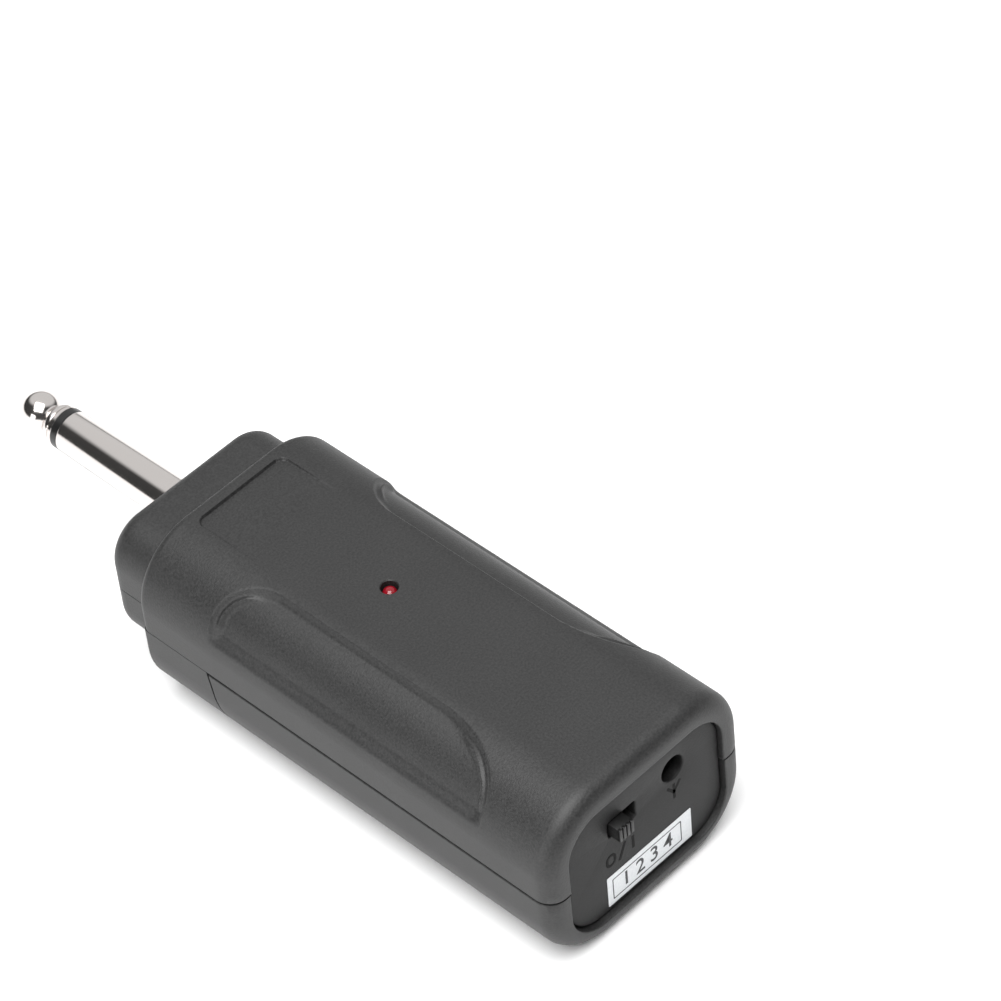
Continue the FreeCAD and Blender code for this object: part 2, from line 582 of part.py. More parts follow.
lens, leads = led_parts()
nodes["led_lens"] = lens
nodes["led_leads"] = Part.makeCompound(leads)
for x in (-led_lead_x, led_lead_x):
    board = board.cut(cyl_z(x, led_y, 0.35, board_z0 - 1, board_z1 + 1))
nodes["main_board"] = board

can_y0 = jack_y0 + 13.0
can = box(-7.5, 3.5, can_y0, can_y0 + 9.0, board_z1, board_z1 + 2.4)
can = can.cut(box(-7.2, 3.2, can_y0 + 0.3, can_y0 + 8.7, board_z1 - 1, board_z1 + 2.1))
nodes["rf_shield"] = can
crystal = box(5.2, 9.2, can_y0 - 0.5, can_y0 + 9.5, board_z1, board_z1 + 3.4)
upright = [e for e in crystal.Edges if abs(e.tangentAt(e.FirstParameter).z) > 0.99]
nodes["crystal"] = crystal.makeFillet(1.9, upright)
chips = []
for x, y, a in ((-5.6, post_y + 6.8, 5.0), (5.6, post_y + 6.0, 4.0)):
    chips.append(box(x - a / 2, x + a / 2, y - 2.0, y + 2.0, board_z1, board_z1 + 1.4))
nodes["chips"] = Part.makeCompound(chips)
caps = []
for x, y in ((-6.8, board_y1 - 3.4), (7.0, board_y1 - 4.0)):
    caps.append(cyl_z(x, y, 2.0, board_z1, board_z1 + 5.2))
nodes["electrolytic_capacitors"] = Part.makeCompound(caps)
small = []
for i in range(5):
    for x in (-2.6, -1.0, 2.4):
        y = can_y0 + 11.0 + i * 2.2
        small.append(box(x - 0.4, x + 0.4, y - 0.8, y + 0.8, board_z1, board_z1 + 0.5))
nodes["resistors"] = Part.makeCompound(small[::2])
nodes["ceramic_capacitors"] = Part.makeCompound(small[1::2])
nodes["inductor"] = cyl_z(-4.6, can_y0 + 12.6, 1.4, board_z1, board_z1 + 2.6)

# ---- screws ------------------------------------------------------------------
case = []
for y in bosses_y:
    for sx in (-1, 1):
        case.append(screw(sx * boss_x, y, parting_z - 2.0, 1.5, 1.2, thread_radius, 7.0))
nodes["case_screws"] = Part.makeCompound(case)
fix = [screw(sx * post_x, post_y, board_z0, 1.8, 1.1, thread_radius, 6.0) for sx in (-1, 1)]
nodes["board_screws"] = Part.makeCompound(fix)

# ---- wires -------------------------------------------------------------------
pad_y = board_y1 - 1.4
tab_z = board_z1 + 1.5
for name, x, far in (("battery_wire_red", -cell_x, -1), ("battery_wire_black", cell_x, 1)):
    pad_x = x - far * 2.4
    start_y = bay_y1 - contact_sheet - wire_radius
    nodes[name] = route([(x, start_y, tab_z), (x, start_y, tab_z + 3.2), (pad_x, pad_y, tab_z + 3.2),
                         (pad_x, pad_y, board_z1)], wire_radius)
lug_a = math.radians(35)
lug_b = math.radians(50)
tip_x = -4.5 * math.sin(lug_a)
tip_z = plug_axis_z + 4.5 * math.cos(lug_a)
sleeve_x = 5.0 * math.sin(lug_b)
sleeve_z = plug_axis_z + 5.0 * math.cos(lug_b)
signal = [(tip_x, plug_rear_y - 1.8, tip_z), (tip_x, plug_rear_y - 7.0, tip_z),
          (-1.2, plug_rear_y - 10.0, tip_z), (-1.2, pad_y, tip_z), (-1.2, pad_y, board_z1)]
nodes["plug_wire_signal"] = route(signal, wire_radius)
ground = [(sleeve_x, plug_rear_y - 0.4, sleeve_z), (sleeve_x, plug_rear_y - 7.0, sleeve_z),
          (1.2, plug_rear_y - 10.5, sleeve_z), (1.2, pad_y, sleeve_z), (1.2, pad_y, board_z1)]
nodes["plug_wire_ground"] = route(ground, wire_radius)

# ---- write -------------------------------------------------------------------
os.makedirs("parts", exist_ok=True)
shift = V(0, -y_mid, 0)
for name, shape in nodes.items():
    out = shape.copy()
    out.translate(shift)
    assert out.isValid(), name
    out.exportStep("parts/" + name + ".step")
    b = out.BoundBox
    print("%-26s solids %2d  x %7.2f %7.2f  y %7.2f %7.2f  z %6.2f %6.2f  vol %9.1f" % (
        name, len(out.Solids), b.XMin, b.XMax, b.YMin, b.YMax, b.ZMin, b.ZMax, out.Volume))
print("y_mid", y_mid, "door_y", door_y, "body_length", body_length, "neck_y1", neck_y1, "tip_y", tip_y)
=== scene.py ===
import bpy
import bmesh
import math
from mathutils import Matrix, Vector


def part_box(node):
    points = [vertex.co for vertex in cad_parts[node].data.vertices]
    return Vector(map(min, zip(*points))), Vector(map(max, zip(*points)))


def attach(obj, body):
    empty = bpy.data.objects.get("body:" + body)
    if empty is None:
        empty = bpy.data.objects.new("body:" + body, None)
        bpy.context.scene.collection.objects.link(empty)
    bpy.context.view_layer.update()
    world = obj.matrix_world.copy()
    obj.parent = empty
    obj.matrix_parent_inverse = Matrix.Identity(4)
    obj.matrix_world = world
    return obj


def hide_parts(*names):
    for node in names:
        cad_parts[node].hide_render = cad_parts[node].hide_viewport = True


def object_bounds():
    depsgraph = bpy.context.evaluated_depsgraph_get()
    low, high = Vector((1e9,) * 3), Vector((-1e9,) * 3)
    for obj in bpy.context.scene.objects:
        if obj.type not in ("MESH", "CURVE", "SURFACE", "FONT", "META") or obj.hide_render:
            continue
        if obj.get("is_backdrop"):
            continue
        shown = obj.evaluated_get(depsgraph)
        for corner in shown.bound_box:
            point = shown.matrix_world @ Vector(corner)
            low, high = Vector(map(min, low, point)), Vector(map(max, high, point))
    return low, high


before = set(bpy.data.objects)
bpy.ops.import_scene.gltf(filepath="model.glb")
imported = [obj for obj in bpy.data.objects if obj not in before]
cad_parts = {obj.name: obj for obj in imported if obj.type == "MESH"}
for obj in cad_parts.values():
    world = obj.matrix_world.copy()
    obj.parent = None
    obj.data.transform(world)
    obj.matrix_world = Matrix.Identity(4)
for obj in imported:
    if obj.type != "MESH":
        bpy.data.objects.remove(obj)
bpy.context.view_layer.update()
mm = 0.001

# ---- camera ------------------------------------------------------------------
# A long lens looks down on the rear left corner of the case, rolled a little.
# The aim is a point beside the lamp, and its Y is counted from the case's rear rim.
rear_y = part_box("upper_shell")[0].y
aim = Vector((21.53 * mm, rear_y + 45.06 * mm, 26.11 * mm))
azimuth = math.radians(-41.92)
elevation = math.radians(45.65)
roll = math.radians(-6.27)
back = Vector((math.sin(azimuth) * math.cos(elevation), -math.cos(azimuth) * math.cos(elevation),
               math.sin(elevation)))
level = Vector((math.cos(azimuth), math.sin(azimuth), 0))
upright = back.cross(level)
right = level * math.cos(roll) + upright * math.sin(roll)
up = upright * math.cos(roll) - level * math.sin(roll)
camera_data = bpy.data.cameras.new("camera")
camera_data.sensor_width = 36
camera_data.lens = 159.7
camera_data.clip_start = 10 * mm
camera = bpy.data.objects.new("camera", camera_data)
stance = Matrix((right, up, back)).transposed().to_4x4()
stance.translation = aim + back * 583.4 * mm
camera.matrix_world = stance
bpy.context.scene.collection.objects.link(camera)
bpy.context.scene.camera = camera
bpy.context.scene.view_settings.view_transform = "Standard"

# ---- table and studio light --------------------------------------------------
# A plain white table under one large softbox, with a small one low on the left.
# The room is bright overhead and dim at eye level, so sides reflect less than tops.


def linear(colour):
    """An sRGB hex colour as linear red, green, blue and alpha."""
    channels = [int(colour[i:i + 2], 16) / 255 for i in (0, 2, 4)]
    light = [c / 12.92 if c <= 0.04045 else ((c + 0.055) / 1.055) ** 2.4 for c in channels]
    return (*light, 1.0)


def add(tree, kind, settings=None, **links):
    """A node with its settings, its sockets' values, and what feeds them."""
    made = tree.nodes.new(kind)
    for name, value in (settings or {}).items():
        setattr(made, name, value)
    for name, value in links.items():
        numbered = name[:2] == "in" and name[2:].isdigit()
        socket = made.inputs[int(name[2:]) if numbered else name.replace("_", " ")]
        if isinstance(value, bpy.types.NodeSocket):
            tree.links.new(value, socket)
        else:
            socket.default_value = value
    return made


def new_material(name):
    """A new material and its node tree, emptied."""
    material = bpy.data.materials.new(name)
    material.use_nodes = True
    tree = material.node_tree
    tree.nodes.clear()
    return material, tree


def seal(tree, shader):
    """Puts the shader on the material's output."""
    output = tree.nodes.new("ShaderNodeOutputMaterial")
    tree.links.new(shader.outputs[0], output.inputs["Surface"])


def solid(name, vertices, faces, material, smooth_angle=40):
    """A mesh piece, shaded smooth up to an angle."""
    mesh = bpy.data.meshes.new(name)
    mesh.from_pydata([tuple(v) for v in vertices], [], faces)
    mesh.validate()
    work = bmesh.new()
    work.from_mesh(mesh)
    bmesh.ops.remove_doubles(work, verts=work.verts, dist=0.002 * mm)
    bmesh.ops.recalc_face_normals(work, faces=work.faces)
    work.to_mesh(mesh)
    work.free()
    mesh.shade_smooth()
    mesh.set_sharp_from_angle(angle=math.radians(smooth_angle))
    mesh.materials.append(material)
    piece = bpy.data.objects.new(name, mesh)
    bpy.context.scene.collection.objects.link(piece)
    return piece


table_paint, tree = new_material("White_table_laminate")
place = add(tree, "ShaderNodeTexCoord").outputs["Object"]
mottle = add(tree, "ShaderNodeTexNoise", Vector=place, Scale=6.0, Detail=2.0)
tone = add(tree, "ShaderNodeMix", {"data_type": "RGBA"}, Factor=mottle.outputs["Fac"],
           A=linear("f6f6f6"), B=linear("fbfbfb"))
seal(tree, add(tree, "ShaderNodeBsdfPrincipled", Base_Color=tone.outputs["Result"], Roughness=0.9))
table_half = 1.6
table = solid("table", [(-table_half, -table_half, 0), (table_half, -table_half, 0),
                        (table_half, table_half, 0), (-table_half, table_half, 0)],
              [(0, 1, 2, 3)], table_paint)
table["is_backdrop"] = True

room = bpy.data.worlds.new("studio_room")
bpy.context.scene.world = room
room.use_nodes = True
tree = room.node_tree
tree.nodes.clear()
place = add(tree, "ShaderNodeTexCoord").outputs["Generated"]
sight = add(tree, "ShaderNodeSeparateXYZ", Vector=place)
lean_right, lean_front = 0.6, 0.35      # the bright part of the room leans these ways
aside = add(tree, "ShaderNodeMath", {"operation": "MULTIPLY_ADD"}, in0=sight.outputs["X"],
            in1=lean_right, in2=sight.outputs["Z"])
lean = add(tree, "ShaderNodeMath", {"operation": "MULTIPLY_ADD"}, in0=sight.outputs["Y"],
           in1=lean_front, in2=aside.outputs["Value"])
rise = add(tree, "ShaderNodeMapRange", {"interpolation_type": "SMOOTHSTEP"},
           Value=lean.outputs["Value"], From_Min=0.58, From_Max=0.86, To_Min=0.06, To_Max=0.85)
wash = add(tree, "ShaderNodeBackground", Color=linear("ffffff"), Strength=rise.outputs["Result"])
add(tree, "ShaderNodeOutputWorld", Surface=wash.outputs["Background"])
for name, spot, size, power in (("overhead_softbox", (-0.3, -0.15, 0.85), 0.8, 14.0),
                                ("left_softbox", (-0.8, 0.0, 0.14), 0.3, 1.6)):
    lamp = bpy.data.lights.new(name, "AREA")
    lamp.size = size
    lamp.energy = power
    stand = bpy.data.objects.new(name, lamp)
    stand.location = spot
    stand.rotation_mode = "QUATERNION"
    stand.rotation_quaternion = Vector(spot).to_track_quat("Z", "Y")
    bpy.context.scene.collection.objects.link(stand)

# ---- upper shell -------------------------------------------------------------
# Injection moulded ABS, charcoal, with a fine spark-eroded texture all over. One
# moulding makes the top, the upper half of the neck and two finger grips, with a
# shallow wedge on the top where a label would sit.
shell_low, shell_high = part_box("upper_shell")
half_width = shell_high.x
top_z = shell_high.z
neck_front = shell_high.y
parting_z = shell_low.z
wall = 2.0 * mm
corner = 10.0 * mm
end_round = 2.6 * mm
front_round = 1.3 * mm         # wide enough to catch the light along the front edge
neck_length = 9.3 * mm
neck_inset = 3.0 * mm
neck_corner = 6.0 * mm
neck_round = 2.6 * mm
neck_half_height = 9.85 * mm
plug_axis_z = parting_z + 2.0 * mm
neck_z = plug_axis_z - 1.95 * mm
plug_radius = 3.175 * mm
body_front = neck_front - neck_length
edge_break = 0.12 * mm


def shrink(section, by):
    """A section is (half width, lowest Z, highest Z, corner radius)."""
    x, low, high, r = section
    return x - by, low + by, high - by, max(r - by, 0.05 * mm)


def between(first, second, t):
    """The section that is t of the way from one to the other."""
    return tuple(a + (b - a) * t for a, b in zip(first, second))


body = (half_width, 0.0, top_z, corner)
neck = (half_width - neck_inset, neck_z - neck_half_height, neck_z + neck_half_height, neck_corner)
plate = (half_width - 3.85 * mm, 3.4 * mm, top_z - 3.8 * mm, 5.5 * mm)
hole_r = plug_radius + 0.1 * mm
plug_hole = (hole_r, plug_axis_z - hole_r, plug_axis_z + hole_r, hole_r)


def half_loop(section, seam_z, sign, sides, arcs, tops):
    """Points (x, z, angle) from the right seam round to the left. sign is 1 above the seam."""
    x, low, high, r = section
    end = high if sign > 0 else low
    centre_z = end - sign * r
    first = seam_z + sign * edge_break
    way = [(x - edge_break, seam_z, None)]
    way += [(x, first + (centre_z - first) * t, None) for t in sides]
    way += [(x - r + r * math.cos(a), centre_z + sign * r * math.sin(a), a) for a in arcs]
    flat = [((x - r) * t, end, None) for t in tops]
    return way + flat + [(-px, pz, a) for px, pz, a in reversed(way)]


def rounding(radius, steps):
    """(distance run, distance still set in) along a quarter round."""
    turn = [math.pi / 2 * i / steps for i in range(steps + 1)]
    return [(radius * (1 - math.cos(a)), radius * (1 - math.sin(a))) for a in turn]


def spread(start, end, step):
    """Even stops from start to end, about a step apart."""
    count = max(1, round(abs(end - start) / step))
    return [start + (end - start) * i / count for i in range(count + 1)]


def ease(t):
    """A smooth step from 0 to 1."""
    t = min(1.0, max(0.0, t))
    return t * t * (3 - 2 * t)


# the finger grip, laid out along the case and, in s, round its upper corner
grip_depth = 0.9 * mm
grip_low = 3.1 * mm
grip_high = 13.8 * mm
grip_lead = 0.7 * mm          # it starts this far below grip_low
grip_ramp = 2.0 * mm          # and is at full depth after this
wall_run = 1.0                # run of its upper wall, in mm
end_run = 1.1                 # what its two ends add to that
bead_height = 0.5 * mm        # a soft bead just inside each end
bead_place = 1.25 * mm
bead_width = 0.36 * mm
bead_start, bead_stop = 24, 72        # degrees round the corner
grip_ends = (                 # tip, length and rise of its curve, side
    (rear_y + 61.4 * mm, 7.4 * mm, 7.7 * mm, 1),
    (rear_y + 11.9 * mm, 12.2 * mm, 8.4 * mm, -1))


def grip(y, angle):
    """How deep the grip is at this place on the upper corner."""
    s = corner * angle
    gap = grip_high - s
    endness = 0.0
    for tip, run, rise, way in grip_ends:
        along = way * (y - (tip - way * run))
        across = s - (grip_high - rise)
        if along <= 0:
            continue
        endness = min(1.0, along / (0.5 * run))
        if across <= 0:
            gap = run - along
        else:
            reach = math.hypot(along / run, across / rise)
            gap = (1 - reach) * reach / math.hypot(along / run ** 2, across / rise ** 2)
    low_gap = s - grip_low + grip_lead
    if min(low_gap, gap) <= 0:
        return 0.0
    t = min(1.0, gap / ((wall_run + end_run * endness) * mm))
    depth = grip_depth * t * (2 - t) * ease(low_gap / grip_ramp)
    swell = math.exp(-((gap - bead_place) / bead_width) ** 2) * endness
    turn = math.degrees(angle)
    fade = ease((turn - bead_start) / 10) * ease((bead_stop - turn) / 12)
    return depth - bead_height * swell * fade


# the label recess
recess_half = 8.0 * mm
recess_front = body_front - 2.3 * mm
recess_length = 11.0 * mm
recess_depth = 0.4 * mm
recess_corner = 1.5 * mm
recess_edge = 0.2 * mm


def recess(x, y):
    """How deep the wedge for the label is at this place on the top."""
    px = abs(x) - (recess_half - recess_corner)
    py = y - (recess_front - recess_corner)
    outside = math.hypot(max(px, 0), max(py, 0)) + min(max(px, py), 0) - recess_corner
    fall = recess_depth * (1 - (recess_front - y) / recess_length)
    return max(0.0, fall) * ease(-outside / recess_edge)


def press(x, y, z, angle, section):
    """Presses the grips and the label recess into the outer surface."""
    if section != body:
        return x, z
    if angle is not None:
        depth = grip(y, angle)
        x -= math.copysign(depth * math.cos(angle), x)
        z -= depth * math.sin(angle)
    if z > top_z - 0.05 * mm:
        z -= recess(x, y)
    return x, z


def rim_rows(opening, lip):
    """Rows (outer Y, outer section, inner Y, inner section) from the opening over the rear rim."""
    back_y = rear_y + wall
    outer = [(back_y, opening), (rear_y + 0.5 * wall, opening)]
    outer += [(rear_y + b, shrink(opening, -a)) for a, b in rounding(lip, 3)]
    rim = shrink(body, end_round)
    outer += [(rear_y, between(shrink(opening, -lip), rim, t)) for t in (0.35, 0.7)]
    outer += [(rear_y + a, shrink(body, b)) for a, b in rounding(end_round, 12)]
    last = len(outer) - 1
    return [(y, section, back_y, between(opening, shrink(body, wall), i / last))
            for i, (y, section) in enumerate(outer)]


def band(rows, seam_z, sign, fine, coarse, shape=None, cut=None):
    """A closed thick half shell. Each row is a ring of outer points, then of inner points."""
    vertices = []
    for y, section, y_in, inner in rows:
        for x, z, angle in half_loop(section, seam_z, sign, *fine):
            if shape:
                x, z = shape(x, y, z, angle, section)
            vertices.append((x, cut(y, z) if cut else y, z))
        for x, z, angle in reversed(half_loop(inner, seam_z, sign, *coarse)):
            vertices.append((x, cut(y_in, z) if cut else y_in, z))
    ring = len(vertices) // len(rows)
    faces = [tuple(range(ring)), tuple(range(len(vertices) - ring, len(vertices)))]
    for i in range(len(rows) - 1):
        for j in range(ring):
            k = (j + 1) % ring
            faces.append((i * ring + j, i * ring + k, (i + 1) * ring + k, (i + 1) * ring + j))
    return vertices, faces


cavity = shrink(body, wall)
neck_cavity = shrink(neck, wall)
rows = rim_rows(shrink(plate, -0.1 * mm), 0.2 * mm)
grips_from, grips_to = rear_y + 11 * mm, rear_y + 62 * mm
recess_end = recess_front - 2.2 * mm
lengths = spread(rear_y + end_round, grips_from, 0.8 * mm)[1:]
lengths += spread(grips_from, grips_to, 0.2 * mm)[1:]
lengths += spread(grips_to, recess_end, 0.5 * mm)[1:]
lengths += spread(recess_end, body_front - front_round, 0.1 * mm)[1:]
inner_stop = body_front - wall
for y in lengths:
    rows.append((y, body, min(y, inner_stop), cavity))
for a, b in rounding(front_round, 6)[1:]:
    rows.append((body_front - b, shrink(body, a), inner_stop, cavity))
foot = 0.4 * mm               # fillet where the neck meets the body
rows.append((body_front, between(shrink(body, front_round), shrink(neck, -foot), 0.5),
             inner_stop, cavity))
for a, b in rounding(foot, 4):
    rows.append((body_front + a, shrink(neck, -b), inner_stop, neck_cavity))
for y in spread(body_front + foot, neck_front - neck_round, 1.0 * mm)[1:]:
    rows.append((y, neck, min(y, neck_front - wall), neck_cavity))
for a, b in rounding(neck_round, 12)[1:]:
    rows.append((neck_front - b, shrink(neck, a), neck_front - wall, neck_cavity))
mouth = 0.25 * mm             # rounding of the hole for the plug
for t in (0.3, 0.6):
    rows.append((neck_front, between(shrink(neck, neck_round), shrink(plug_hole, -mouth), t),
                 neck_front - wall, between(neck_cavity, plug_hole, t)))
for a, b in rounding(mouth, 3):
    rows.append((neck_front - a, shrink(plug_hole, -b), neck_front - wall,
                 between(neck_cavity, plug_hole, 0.9)))
rows.append((neck_front - wall, plug_hole, neck_front - wall, plug_hole))

arc_steps = 78
arc_columns = [math.pi / 2 * i / arc_steps for i in range(arc_steps + 1)]
# columns across the flat top, close together where the recess has its edges
flat_columns = [1 - 0.015 * i for i in range(1, 16)] + [0.7, 0.6, 0.45, 0.3, 0.15]
flat_columns = flat_columns + [0.0] + [-t for t in reversed(flat_columns)]
side_columns = [0.0, 0.35, 0.7]
coarse_columns = (side_columns, [math.pi / 2 * i / 8 for i in range(9)], [0.5, 0.0, -0.5])
grain = 0.30 * mm             # the real texture is about half this, too fine to show
crease = 38                   # degrees: the case is smooth where its faces turn less


def surface(name, dark, light, rough, grain, relief=0.0, **shader):
    """A finish with two tones, a range of roughness and a little relief, from one fine noise."""
    material, tree = new_material(name)
    place = add(tree, "ShaderNodeTexCoord").outputs["Object"]
    speck = add(tree, "ShaderNodeTexNoise", Vector=place, Scale=1 / grain, Detail=3.0,
                Roughness=0.6)
    cloud = add(tree, "ShaderNodeTexNoise", Vector=place, Scale=1 / (30 * grain), Detail=2.0)
    both = add(tree, "ShaderNodeMath", {"operation": "MULTIPLY_ADD"}, in0=cloud.outputs["Fac"],
               in1=0.15, in2=speck.outputs["Fac"])
    share = add(tree, "ShaderNodeMapRange", Value=both.outputs["Value"], From_Min=0.4,
                From_Max=0.75)
    tone = add(tree, "ShaderNodeMix", {"data_type": "RGBA"}, Factor=share.outputs["Result"],
               A=linear(dark), B=linear(light))
    gloss = add(tree, "ShaderNodeMapRange", Value=speck.outputs["Fac"], To_Min=rough[0],
                To_Max=rough[1])
    links = {"Base_Color": tone.outputs["Result"], "Roughness": gloss.outputs["Result"], **shader}
    if relief:
        bump = add(tree, "ShaderNodeBump", Height=speck.outputs["Fac"], Strength=relief,
                   Distance=0.05 * mm)
        links["Normal"] = bump.outputs["Normal"]
    seal(tree, add(tree, "ShaderNodeBsdfPrincipled", **links))
    return material


# charcoal ABS from a spark-eroded mould: matt, with a fine even grain
case_abs = surface("Charcoal_ABS_spark_eroded", "131313", "292929", (0.45, 0.6), grain, 0.85,
                   IOR=1.53)
upper = solid("case_top", *band(rows, parting_z, 1, (side_columns, arc_columns, flat_columns),
                                coarse_columns, press), case_abs, crease)

# the lamp hole is drilled through the top
lamp_low, lamp_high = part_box("led_lens")
lamp_centre = Vector((0.5 * (lamp_low.x + lamp_high.x), 0.5 * (lamp_low.y + lamp_high.y), 0))
lamp_hole_r = 1.2 * mm
lamp_bevel = 0.42 * mm


def turned(name, profile, material, centre, steps=64, smooth_angle=35, upright=False):
    """A turned piece: (distance along Y, radius) spun round centre, or along Z if upright."""
    vertices = []
    for far, r in profile:
        for i in range(steps):
            turn = 2 * math.pi * i / steps
            u, v = r * math.cos(turn), r * math.sin(turn)
            if upright:
                vertices.append((centre.x + u, centre.y + v, far))
            else:
                vertices.append((centre.x + u, far, centre.z + v))
    faces = []
    for k in range(len(profile) - 1):
        for i in range(steps):
            j = (i + 1) % steps
            faces.append((k * steps + i, k * steps + j, (k + 1) * steps + j, (k + 1) * steps + i))
    return solid(name, vertices, faces, material, smooth_angle)


drill = turned("drill", [(top_z - 4 * mm, 0), (top_z - 4 * mm, lamp_hole_r),
                         (top_z - 0.12 * mm, lamp_hole_r),
                         (top_z + 0.3 * mm, lamp_hole_r + lamp_bevel), (top_z + 0.3 * mm, 0)],
               case_abs, lamp_centre, 48, upright=True)
cutter = upper.modifiers.new("lamp_hole", "BOOLEAN")
cutter.operation = "DIFFERENCE"
cutter.solver = "EXACT"
cutter.object = drill
bpy.context.view_layer.update()
bored = bpy.data.meshes.new_from_object(upper.evaluated_get(bpy.context.evaluated_depsgraph_get()))
upper.modifiers.clear()
upper.data = bored
bpy.data.objects.remove(drill)
bored.set_sharp_from_angle(angle=math.radians(crease))
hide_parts("upper_shell")
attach(upper, "case")

# ---- battery door ------------------------------------------------------------
# The rear two thirds of the underside, moulded in the same ABS. It slides off to
# the rear on two lips, and two small tongues snap behind the case at its front.
door_seam = parting_z - 0.3 * mm
door_front = rear_y + 62.05 * mm
door_slant = 2.6 * mm
slant_reach = 8 * mm


def slanted(y, z):
    """The front of the door leans back towards the bottom."""
    near = min(1.0, max(0.0, (y - door_front + slant_reach) / slant_reach))
    return y - door_slant * (1 - z / parting_z) * near


def block(low, high, bevel):
    """Vertices and faces of a box with its edges taken off."""
    work = bmesh.new()
    bmesh.ops.create_cube(work, size=1.0)
    for v in work.verts:
        v.co = Vector([a + (b - a) * (c + 0.5) for a, b, c in zip(low, high, v.co)])
    bmesh.ops.bevel(work, geom=work.edges[:], offset=bevel, segments=2, affect="EDGES", profile=0.5)
    work.verts.index_update()
    made = [v.co.copy() for v in work.verts], [tuple(v.index for v in f.verts) for f in work.faces]
    work.free()
    return made


def together(*parts):
    """Several closed parts as one list of vertices and one of faces."""
    vertices, faces = [], []
    for some, more in parts:
        faces += [tuple(i + len(vertices) for i in face) for face in more]
        vertices += list(some)
    return vertices, faces


rows = rim_rows(shrink(plate, -0.3 * mm), 0.2 * mm)
for y in spread(rear_y + end_round, door_front - 0.15 * mm, 1.5 * mm)[1:]:
    rows.append((y, body, y, cavity))
rows.append((door_front, shrink(body, 0.12 * mm), door_front, shrink(cavity, -0.05 * mm)))
door_columns = ([0.0, 0.5], [math.pi / 2 * i / 32 for i in range(33)], [0.5, 0.0, -0.5])
parts = [band(rows, door_seam, -1, door_columns, door_columns, cut=slanted)]
for side in (-1, 1):
    def across(inner, outer):
        """Two distances from the middle, as X on this side."""
        return sorted((side * inner * mm, side * outer * mm))
    for (x0, x1), y0, y1, z0, z1 in (
            (across(15.03, 16.3), 4.95, 58.65, 13.12, 13.83),        # lip
            (across(14.43, 15.22), 54.25, 63.75, 7.05, 8.95),        # tongue
            (across(15.1, 16.3), 54.25, 57.5, 7.05, 8.95)):          # its foot
        near, far = (x0, rear_y + y0 * mm, z0 * mm), (x1, rear_y + y1 * mm, z1 * mm)
        parts.append(block(near, far, 0.1 * mm))
door = solid("door", *together(*parts), case_abs, crease)
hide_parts("battery_door")
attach(door, "battery_door")

# ---- lower shell -------------------------------------------------------------
# The front of the underside, the battery tray and the lower half of the neck in
# one moulding of the same ABS, screwed up into the upper shell from below.
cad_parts["lower_shell"].data.materials.clear()
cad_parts["lower_shell"].data.materials.append(case_abs)

# ---- control plate -----------------------------------------------------------
# A flat ABS plate, held in the rear opening by the flange behind it, drawn darker and less shiny
# than the case as painted shade for its face turned from the light. It has a slot for the power
# switch and a hole for the aerial.
plate_low, plate_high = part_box("end_plate")
plate_face = plate_low.y
plate_back = plate_high.y
plate_step = plate_back - 1.0 * mm
knob_low, knob_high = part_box("switch_knob")
socket_low, socket_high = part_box("antenna_socket")
slot_low_x = -6.4 * mm
slot_high_x = -1.3 * mm
slot_half_height = 1.4 * mm
switch_z = 18.1 * mm
socket_x = 0.5 * (socket_low.x + socket_high.x)
socket_z = 19.3 * mm
socket_hole = 1.95 * mm


def loop(section, centre_x, floor_z, steps=14):
    """Closed loop of (x, z) round one section, cut off flat at floor_z."""
    x, low, high, r = section
    points = []
    for quarter, (cx, cz) in enumerate(((x - r, high - r), (r - x, high - r), (r - x, low + r),
                                        (x - r, low + r))):
        for i in range(steps):
            a = math.pi / 2 * (quarter + i / (steps - 1))
            point = (centre_x + cx + r * math.cos(a), cz + r * math.sin(a))
            if point[1] > floor_z and (not points or math.dist(point, points[-1]) > 0.001 * mm):
                points.append(point)
    if low < floor_z:
        points += [(centre_x - x, floor_z), (centre_x + x, floor_z)]
    return points[:-1] if math.dist(points[0], points[-1]) < 0.001 * mm else points


def plaque(outer, holes, front, back, edge, floor_z=None):
    """A flat piece facing -Y with rounded edges, its outline cut off flat at floor_z.

    outer and each of the holes are (section, centre x).
    """
    work = bmesh.new()
    rims = {0: [], 1: []}
    for number, (section, centre_x) in enumerate([outer] + list(holes)):
        way = 1 if number == 0 else -1
        cut_off = number == 0 and floor_z is not None
        curve = rounding(edge, 3)
        turns = [(front + a, b) for a, b in curve] + [(back - a, b) for a, b in reversed(curve)]
        rings = []
        for y, inset in turns:
            points = loop(shrink(section, way * inset), centre_x,
                          floor_z + inset if cut_off else 0.0)
            rings.append([work.verts.new((x / mm, y / mm, z / mm)) for x, z in points])
        count = len(rings[0])
        for first, second in zip(rings, rings[1:]):
            for i in range(count):
                j = (i + 1) % count
                work.faces.new((first[i], first[j], second[j], second[i]))
        for end, ring in ((0, rings[0]), (1, rings[-1])):
            rims[end] += [work.edges.get((ring[i], ring[(i + 1) % count])) for i in range(count)]
    for edges in rims.values():
        bmesh.ops.triangle_fill(work, use_beauty=True, edges=edges)
    work.verts.index_update()
    made = [v.co * mm for v in work.verts], [tuple(v.index for v in f.verts) for f in work.faces]
    work.free()
    return made


